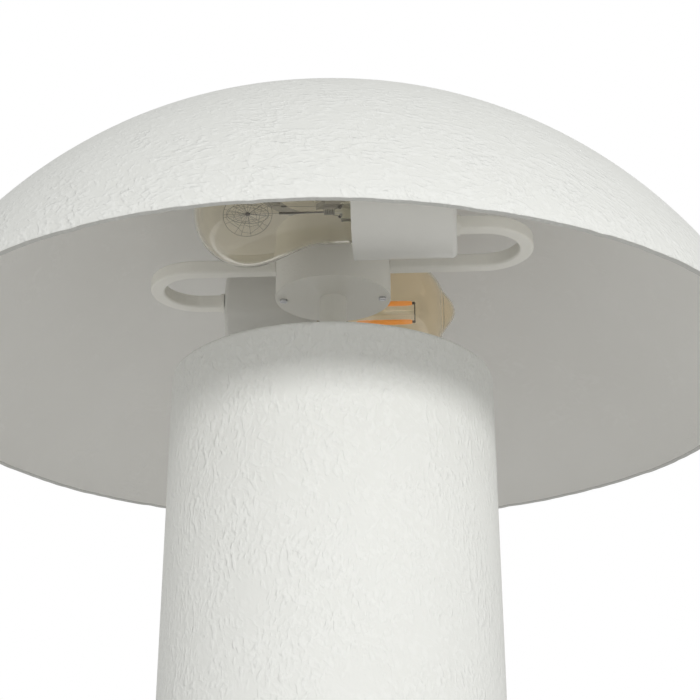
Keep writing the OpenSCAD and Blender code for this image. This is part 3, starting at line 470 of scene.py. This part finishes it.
def glassMaterial(name, s):
    material, tree, shader, where = startMaterial(name)
    tree.links.new(addTones(tree, shader, where, s), shader.inputs["Base Color"])
    shader.inputs["Transmission Weight"].default_value = 1.0
    shader.inputs["IOR"].default_value = s["ior"]
    shader.inputs["Metallic"].default_value = 0.0
    addBump(tree, shader, [(addSwell(tree, where, s), s["swellShare"])], s["depth"])
    return material


kinds = [
    (plasterMaterial, plasterBase, plasterLooks), (paintedMaterial, paintBase, paintLooks),
    (glassMaterial, glassBase, glassLooks)]
finishes = {}
for makeFinish, base, looks in kinds:
    for finishName, look in looks.items():
        finishes[finishName] = makeFinish(finishName, dict(base, **look))
print("materials made")

# the shade: a dome of plaster with an uneven hand-made edge; each set of waves has its counts, phases and shares
domeSettings = {
    "radius": 0.200, "height": 0.129, "rimHeight": 0.380, "rimWall": 0.003, "topWall": 0.005,
    "turnIn": 1.285, "crown": 2.33, "rows": 56, "cols": 800,
    "wallWave": 0.00035, "wallTwist": 9, "wallWaves": ((3, 5, 8, 13), (0.4, 2.1, 4.4, 1.3), (0.5, 0.28, 0.16, 0.1)),
    "rimWave": 0.0006, "rimFade": 0.012,
    "rimWaves": ((2, 4, 7, 11, 17), (1.1, 3.0, 0.6, 5.1, 2.2), (0.45, 0.3, 0.25, 0.16, 0.1)),
    "nicks": 0.00022, "nickFade": 0.0015,
    "nickWaves": ((31, 47, 73, 101, 139), (0.3, 2.7, 4.9, 1.6, 3.8), (0.30, 0.26, 0.24, 0.2, 0.16)),
    "edgeRound": 0.0004, "roundPoints": 4, "edgeClear": 1.5,
}


def domeSide(s, radius, height, rows):
    # r = R (1 - (z / H)^turnIn)^(1 / crown), with rows closer together near the crown
    t = np.linspace(0, 1, rows)
    z = height * (1 - (1 - t) ** 2)
    return np.stack([radius * np.maximum(0, 1 - (z / height) ** s["turnIn"]) ** (1 / s["crown"]), z], -1)


def waves(angle, waveSet):
    # a sum of sine waves round the axis: share sin(count a + phase)
    return sum(share * np.sin(count * angle + phase) for count, phase, share in zip(*waveSet))


def domeShift(rings, angle):
    # the wall moves in by a soft wave, and near the rim the edge rises and falls by another;
    # nicks and dabs along the edge fade out within a few millimetres
    s = domeSettings
    above = rings[:, 1:] - s["rimHeight"]
    nearRim = np.exp(-np.maximum(above, 0) / s["rimFade"])
    atEdge = np.exp(-np.maximum(above, 0) / s["nickFade"])
    wallWave = waves(angle[None, :] + above * s["wallTwist"], s["wallWaves"]) - 1.0
    edgeWave = waves(angle[None, :], s["rimWaves"])
    nicks = waves(angle[None, :], s["nickWaves"])
    outer = rings[:, :1] / s["radius"]
    moveOut = s["wallWave"] * wallWave * outer - s["nicks"] * atEdge * np.abs(nicks)
    return moveOut, s["rimWave"] * edgeWave * nearRim + s["nicks"] * atEdge * nicks


def makeDome(s):
    # down the inside to the rim, round the rim's two corners, and up the outside
    outer = domeSide(s, s["radius"], s["height"], s["rows"])
    inner = domeSide(s, s["radius"] - s["rimWall"], s["height"] - s["topWall"], s["rows"])
    edge = s["edgeRound"]
    innerCorner = (s["radius"] - s["rimWall"] + edge, edge)
    outerCorner = (s["radius"] - edge, edge)
    rim = np.concatenate([arcPoints(innerCorner, edge, 180, 270, s["roundPoints"]),
                          arcPoints(outerCorner, edge, 270, 360, s["roundPoints"])])
    inner = inner[inner[:, 1] > s["edgeClear"] * edge]
    outer = outer[outer[:, 1] > s["edgeClear"] * edge]
    profile = np.concatenate([inner[::-1], rim, outer])
    profile[:, 1] += s["rimHeight"]
    profile[0, 0] = profile[-1, 0] = 0
    dome = turned("shadeDome", profile, s["cols"], shift=domeShift)
    mesh = dome.data
    for finishName in ("domePlaster", "innerPlaster", "rimPaintedShade"):
        mesh.materials.append(finishes[finishName])
    # the inside's rows come first, then the rim up to the start of its outer corner, then the outside;
    # the faces round the two poles stand at the end, the inner pole's first
    insideRows = len(inner) - 1
    rimRows = len(rim) - 3
    gridRows = len(profile) - 3
    row = np.arange(len(mesh.polygons)) // s["cols"]
    index = np.where(row < insideRows, 1, np.where(row < insideRows + rimRows, 2, 0))
    index[row == gridRows] = 1
    mesh.polygons.foreach_set("material_index", index.astype(np.int32))
    return dome


shadeDome = makeDome(domeSettings)
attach(shadeDome, "shade")
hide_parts("shade_shell")
print("shade made")

# the blown glass of both bulbs, in the sockets' frames
bulbSettings = {
    "neck": 0.0145, "glueRadius": 0.0114, "foot": 0.039, "glueRise": 0.0046, "flareRise": 0.0084, "mouth": 0.046,
    "wall": 0.0008, "neckRows": 50, "globeRows": 100, "tipPower": 1.7, "cols": 160,
    "frontBulbGlass": {
        "side": 0, "radius": 0.024, "out": 0.0715, "neckOut": 0.013, "tipHeight": 0.0, "tipRadius": 0.01},
    "rearBulbGlass": {
        "side": 1, "radius": 0.030, "out": 0.0645, "neckOut": 0.003, "tipHeight": 0.0040, "tipRadius": 0.0115},
}


def bulbSide(s, bulb, wall):
    # up the neck r = neck + (R - neck)(1 - cos(pi u)) / 2, then round the globe r = R cos a, z = middle + R sin a,
    # where inside the tip's radius the height grows by tipHeight (1 - (r / tipRadius)^2)^tipPower
    middle = s["mouth"] + bulb["out"] - bulb["radius"]
    start = np.array([[s["glueRadius"], s["foot"]], [s["glueRadius"], s["foot"] + s["glueRise"]],
                      [s["neck"], s["foot"] + s["flareRise"]]])
    u = np.linspace(0, 1, s["neckRows"])
    low = s["mouth"] + bulb["neckOut"]
    flare = s["neck"] + (bulb["radius"] - s["neck"]) * (1 - np.cos(math.pi * u)) / 2
    neck = np.stack([flare, low + (middle - low) * u], -1)
    a = np.radians(np.linspace(0, 90, s["globeRows"])[1:])
    globe = np.stack([bulb["radius"] * np.cos(a), middle + (bulb["radius"] - wall) * np.sin(a)], -1)
    globe[:, 0] *= 1 - wall / bulb["radius"]
    globe[:, 1] += bulb["tipHeight"] * np.maximum(0, 1 - (globe[:, 0] / bulb["tipRadius"]) ** 2) ** s["tipPower"]
    side = np.concatenate([start - [wall, 0], neck - [wall, 0], globe])
    side[-1, 0] = 0
    return side


def makeBulb(s, name, body, node, finish):
    # down the inside of the glass and up its outside
    bulb = s[name]
    profile = np.concatenate([bulbSide(s, bulb, s["wall"])[::-1], bulbSide(s, bulb, 0)])
    glass = turned(name, profile, s["cols"], place=socketFrame(bulb["side"]))
    glass.data.materials.append(finish)
    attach(glass, body)
    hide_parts(node)


makeBulb(bulbSettings, "frontBulbGlass", "front_bulb", "front_bulb_glass", finishes["clearGlass"])
makeBulb(bulbSettings, "rearBulbGlass", "rear_bulb", "rear_bulb_glass", finishes["amberGlass"])
print("bulbs made")


def tubes(lines, sides=10):
    # a tube round each line of points: p + r (cos a across + sin a up), with r given for the whole line or each point
    parts = []
    a = np.arange(sides) / sides * 2 * math.pi
    for line, radius in lines:
        line = np.asarray(line, float)
        closed = np.allclose(line[0], line[-1])
        if closed:
            line = line[:-1]
            along = np.roll(line, -1, 0) - np.roll(line, 1, 0)
        else:
            along = np.gradient(line, axis=0)
        along /= np.linalg.norm(along, axis=1, keepdims=True)
        across = np.cross(along, np.eye(3)[np.abs(along).max(0).argmin()])
        across /= np.linalg.norm(across, axis=1, keepdims=True)
        up = np.cross(along, across)
        width = np.broadcast_to(radius, len(line))[:, None, None]
        around = np.cos(a)[None, :, None] * across[:, None] + np.sin(a)[None, :, None] * up[:, None]
        points = (line[:, None] + width * around).reshape(-1, 3)
        faces = [gridFaces(len(line), sides, closed, 0)]
        if not closed:
            col = np.arange(sides)
            following = (col + 1) % sides
            last = (len(line) - 1) * sides
            faces.append(np.stack([np.full(sides, len(points)), following, col], -1))
            faces.append(np.stack([last + col, last + following, np.full(sides, len(points) + 1)], -1))
            points = np.concatenate([points, line[:1], line[-1:]])
        parts.append((points, faces))
    return parts


def joinParts(name, groups, place):
    # several sets of parts in one mesh, each set with its own material
    points, faces, finish, first = [], [], [], 0
    for index, (parts, material) in enumerate(groups):
        for partPoints, partFaces in parts:
            faces += [f + first for f in partFaces]
            finish += [np.full(len(f), index) for f in partFaces]
            points.append(partPoints)
            first += len(partPoints)
    turn, move = place
    piece = makePiece(name, np.concatenate(points) @ turn.T + move, faces)
    for parts, material in groups:
        piece.data.materials.append(material)
    piece.data.polygons.foreach_set("material_index", np.concatenate(finish).astype(np.int32))
    return piece


def circleLine(centre, radius, first, second, count=72):
    # centre + R (cos a first + sin a second), closed
    a = np.linspace(0, 2 * math.pi, count + 1)[:, None]
    line = np.array(centre) + radius * (np.cos(a) * np.array(first) + np.sin(a) * np.array(second))
    line[-1] = line[0]
    return line


def bulged(radius, count, fullness):
    # radius along a rod with rounded ends: r sqrt(1 - |2u - 1|^fullness)
    u = np.linspace(0.01, 0.99, count)
    return radius * np.sqrt(1 - np.abs(2 * u - 1) ** fullness)


# the front bulb's filament: two crossed wheels of fine wire on a post, with knots at its foot
wheelSettings = {
    "at": 0.0935, "radius": 0.0110, "wire": 0.00011, "thin": 0.00008, "wireSides": 6, "spokes": 15,
    "crossRadius": 0.0094, "crossSpokes": 10, "webs": (0.80, 0.58, 0.36), "crossWebs": (0.80,),
    "spokeStart": 0.0008, "spokeWander": (0.10, 2.3), "webWander": (0.09, 1.7, 9),
    "postFoot": 0.0592, "postTop": 0.0795, "postWidths": (0.00036, 0.00056), "postRows": 30, "postFullness": 40,
    "axleStart": 0.079,
    "coil": {"low": 0.0545, "high": 0.0592, "radius": 0.0013, "turns": 6, "wire": 0.00016, "stepsPerTurn": 26},
    "bead": {"half": 0.0011, "radius": 0.0009, "rows": 16, "fullness": 2},
    "knots": ((0.0024, 0.0520), (-0.0022, 0.0517)),
    "knotLoops": {"steps": 24, "wire": 0.00018, "radius": 0.0008, "tilt": (0, 0.6, 0.8), "otherRadius": 0.0007,
                  "otherPlace": (1.15, 0.0003, 0.0005), "otherTilt": (0.5, 0.3, 0.8)},
    "knotTail": {"place": (0.5, 0.0009, 0.0035), "wire": 0.00014},
    "side": (0.0034, 0, 0.0775),
    "sideBead": {"below": 0.0016, "above": 0.0012, "radius": 0.00042, "rows": 10, "fullness": 4},
    "sideHold": (0.42, 0, -0.91),
}


def wheelLines(s, centre, first, second, radius, spokes, webs):
    # a rim, spokes at slightly uneven angles a = 2 pi i / n + wander sin(pace i), and webs that run from
    # spoke to spoke at a radius of share + wander sin(pace i + shift share)
    first, second = np.array(first, float), np.array(second, float)
    i = np.arange(spokes)
    wander, pace = s["spokeWander"]
    a = (2 * math.pi * i / spokes + wander * np.sin(pace * i))[:, None]
    out = np.cos(a) * first + np.sin(a) * second
    lines = [(circleLine(centre, radius, first, second), s["wire"])]
    lines += [(np.stack([centre + s["spokeStart"] * o, centre + radius * o]), s["thin"]) for o in out]
    wander, pace, shift = s["webWander"]
    for share in webs:
        web = centre + radius * (share + wander * np.sin(pace * i + shift * share))[:, None] * out
        lines.append((np.concatenate([web, web[:1]]), s["thin"]))
    return lines


def knotLines(s, x, z):
    # two loops through each other and a tail that runs up towards the post
    loops, tail = s["knotLoops"], s["knotTail"]
    reach, off, rise = loops["otherPlace"]
    tailReach, tailOff, tailRise = tail["place"]
    loop = circleLine((x, 0, z), loops["radius"], (1, 0, 0), loops["tilt"], loops["steps"])
    otherPlace = (x * reach, off, z + rise)
    otherLoop = circleLine(otherPlace, loops["otherRadius"], loops["otherTilt"], (0, 1, 0), loops["steps"])
    tailLine = [[x, 0, z], [x * tailReach, tailOff, z + tailRise]]
    return [(loop, loops["wire"]), (otherLoop, loops["wire"]), (tailLine, tail["wire"])]


def makeWheels(s):
    centre = np.array([0, 0, s["at"]])
    wheels = wheelLines(s, centre, (1, 0, 0), (0, 0, 1), s["radius"], s["spokes"], s["webs"])
    wheels += wheelLines(s, centre, (0, 1, 0), (0, 0, 1), s["crossRadius"], s["crossSpokes"], s["crossWebs"])
    wheels.append(([[0, 0, s["axleStart"]], [0, 0, s["at"] + s["radius"]]], s["thin"]))
    coil = s["coil"]
    a = np.linspace(0, 2 * math.pi * coil["turns"], coil["stepsPerTurn"] * coil["turns"])
    rise = np.linspace(coil["low"], coil["high"], len(a))
    helix = np.stack([coil["radius"] * np.cos(a), coil["radius"] * np.sin(a), rise], -1)
    post = np.linspace([0, 0, s["postFoot"]], [0, 0, s["postTop"]], s["postRows"])
    postWidth = np.linspace(*s["postWidths"], s["postRows"]) * bulged(1, s["postRows"], s["postFullness"])
    dark = [(post, postWidth), (helix, coil["wire"])]
    bead = s["bead"]
    line = np.linspace(centre - [0, 0, bead["half"]], centre + [0, 0, bead["half"]], bead["rows"])
    dark.append((line, bulged(bead["radius"], bead["rows"], bead["fullness"])))
    for x, z in s["knots"]:
        dark += knotLines(s, x, z)
    side, bead = np.array(s["side"]), s["sideBead"]
    line = np.linspace(side - [0, 0, bead["below"]], side + [0, 0, bead["above"]], bead["rows"])
    dark.append((line, bulged(bead["radius"], bead["rows"], bead["fullness"])))
    x, z = s["knots"][0]
    wheels.append(([[x, 0, z], side], s["thin"]))
    wheels.append(([side, centre + s["radius"] * np.array(s["sideHold"])], s["thin"]))
    sets = [(tubes(wheels, s["wireSides"]), finishes["wheelWire"]), (tubes(dark), finishes["darkWire"])]
    return joinParts("frontFilament", sets, socketFrame(0))


frontFilament = makeWheels(wheelSettings)
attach(frontFilament, "front_bulb")
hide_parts("front_bulb_filament")

# the rear bulb's filament: two coated bars between thin wires; unevenness has its share, pace and shift
barSettings = {
    "low": 0.065, "high": 0.093, "off": 0.0051, "radius": 0.00125, "rows": 60, "fullness": 14, "sides": 20,
    "uneven": ((0.03, 40, 0), (0.02, 97, 1)), "cross": 0.0943, "foot": 0.0517, "footOff": 0.003, "wire": 0.00028,
    "wireIn": 0.0003, "joint": {"in": 0.0004, "radius": 0.0007, "rows": 10, "fullness": 6},
}


def makeBars(s):
    # bars of radius r (1 + the unevenness), each with a wire to its foot and a joint to the wire across
    u = np.linspace(0, 1, s["rows"])
    width = bulged(s["radius"], s["rows"], s["fullness"]) * (
        1 + sum(share * np.sin(pace * u + shift) for share, pace, shift in s["uneven"]))
    bars, wires, joint = [], [], s["joint"]
    for side in (-1, 1):
        x = side * s["off"]
        bars.append((np.linspace([x, 0, s["low"]], [x, 0, s["high"]], s["rows"]), width))
        wires.append(([[side * s["footOff"], 0, s["foot"]], [x, 0, s["low"] + s["wireIn"]]], s["wire"]))
        line = np.linspace([x, 0, s["high"] - joint["in"]], [x, 0, s["cross"] + joint["in"]], joint["rows"])
        wires.append((line, bulged(joint["radius"], joint["rows"], joint["fullness"])))
    wires.append(([[-s["off"], 0, s["cross"]], [s["off"], 0, s["cross"]]], s["wire"]))
    sets = [(tubes(bars, s["sides"]), finishes["glowBar"]), (tubes(wires), finishes["darkWire"])]
    return joinParts("rearFilament", sets, socketFrame(1))


rearFilament = makeBars(barSettings)
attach(rearFilament, "rear_bulb")
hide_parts("rear_bulb_filament")
print("filaments made")

# the finish of each node that comes from the CAD model
nodeFinishes = {
    "bodyPlaster": ["body_shell"],
    "innerPlaster": ["crown_block"],
    "steel": [
        "crown_plate", "crown_screws", "shade_rest_nut", "lamp_pipe", "hub_nut", "hub_washer", "hub_cover_screws",
        "weight_nut", "base_washer", "base_nut", "arm_nuts", "core_screws"],
    "whitePaint": [
        "arm_washers", "shade_rest", "hub_housing", "hub_cover", "stem_tube", "stem_washer", "front_arm", "rear_arm"],
    "whitePlastic": ["front_socket_cap", "rear_socket_cap", "front_socket_shell", "rear_socket_shell"],
    "porcelain": ["front_socket_core", "rear_socket_core"],
    "brass": [
        "front_screw_shell", "rear_screw_shell", "front_centre_contact", "rear_centre_contact", "terminal_screws"],
    "capMetal": ["front_bulb_cap", "rear_bulb_cap"],
    "castIron": ["base_weight"],
    "board": ["base_plate"],
    "felt": ["felt_pad"],
    "mouldedPlastic": ["cord_bushing", "lead_connectors"],
    "leadSleeve": ["front_leads", "rear_leads"],
    "clearGlass": ["front_bulb_glass"],
    "amberGlass": ["rear_bulb_glass"],
    "mountGlass": ["front_bulb_stem", "rear_bulb_stem"],
    "blackGlass": ["front_bulb_insulator", "rear_bulb_insulator"],
    "solder": ["front_bulb_button", "rear_bulb_button"],
    "darkWire": ["front_bulb_filament"],
    "glowBar": ["rear_bulb_filament"],
}
for finishName, nodeNames in nodeFinishes.items():
    for nodeName in nodeNames:
        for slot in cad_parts[nodeName].material_slots:
            slot.material = finishes[finishName]
print("finishes set")

# floor, surroundings and lamps
studioSettings = {
    "skyLevel": 0.43, "whiteLevel": 1.0, "aimHeight": 0.36,
    "floorSize": 1.5, "floor": {
        "tone": (0.90, 0.895, 0.88, 1), "otherShare": 0.98, "cloudScale": 2.0, "rough": (0.7, 0.8)},
    "lamps": {
        "frontSoftbox": {"place": (0.50, -2.0, 0.66), "size": (1.2, 0.25), "power": 18.6},
        "leftFill": {"place": (-1.8, -0.9, 0.9), "size": (1.0, 1.0), "power": 3.4},
        "rightFill": {"place": (1.9, -0.7, 0.9), "size": (1.0, 1.0), "power": 3.4},
        "backFill": {"place": (-0.4, 1.9, 1.0), "size": (1.4, 1.0), "power": 6.0},
    },
}


def makeSky(s):
    # soft light for the object, plain white for what the camera, glass and gloss see
    world = bpy.data.worlds.new("studioSky")
    world.use_nodes = True
    tree = world.node_tree
    tree.nodes.clear()
    output = addNode(tree, "ShaderNodeOutputWorld", (600, 0))
    plain = {"Color": (1, 1, 1, 1)}
    soft = addNode(tree, "ShaderNodeBackground", (0, 100), dict(plain, Strength=s["skyLevel"]))
    white = addNode(tree, "ShaderNodeBackground", (0, -100), dict(plain, Strength=s["whiteLevel"]))
    pick = addNode(tree, "ShaderNodeMixShader", (300, 0))
    rays = addNode(tree, "ShaderNodeLightPath", (-600, 0))
    seen = addNode(tree, "ShaderNodeMath", (-300, 0), operation="MAXIMUM")
    seenToo = addNode(tree, "ShaderNodeMath", (-150, 0), operation="MAXIMUM")
    linkAll(tree, [
        (rays.outputs["Is Camera Ray"], seen.inputs[0]), (rays.outputs["Is Transmission Ray"], seen.inputs[1]),
        (seen.outputs["Value"], seenToo.inputs[0]), (rays.outputs["Is Glossy Ray"], seenToo.inputs[1]),
        (seenToo.outputs["Value"], pick.inputs["Fac"]), (soft.outputs["Background"], pick.inputs[1]),
        (white.outputs["Background"], pick.inputs[2]), (pick.outputs["Shader"], output.inputs["Surface"])])
    scene.world = world


def makeFloor(s):
    half = s["floorSize"] / 2
    corners = np.array([[-half, -half, 0], [half, -half, 0], [half, half, 0], [-half, half, 0]], float)
    floor = makePiece("paleFloor", corners, [np.array([[0, 1, 2, 3]])])
    material, tree, shader, where = startMaterial("paleFloor")
    look = s["floor"]
    otherTone = tuple(c * look["otherShare"] for c in look["tone"][:3]) + (1,)
    color = addTones(tree, shader, where, dict(look, otherTone=otherTone))
    tree.links.new(color, shader.inputs["Base Color"])
    floor.data.materials.append(material)


def makeLamps(s):
    # each lamp is turned to the point on the axis at aimHeight
    for name, lamp in s["lamps"].items():
        data = bpy.data.lights.new(name, "AREA")
        data.shape = "RECTANGLE"
        data.size, data.size_y = lamp["size"]
        data.energy = lamp["power"]
        light = bpy.data.objects.new(name, data)
        away = np.array(lamp["place"]) - np.array([0, 0, s["aimHeight"]])
        pan = Matrix.Rotation(math.atan2(away[0], -away[1]), 4, "Z")
        tilt = Matrix.Rotation(math.acos(away[2] / np.linalg.norm(away)), 4, "X")
        light.matrix_world = Matrix.Translation(lamp["place"]) @ pan @ tilt
        scene.collection.objects.link(light)


makeSky(studioSettings)
makeFloor(studioSettings)
makeLamps(studioSettings)
print("studio made")
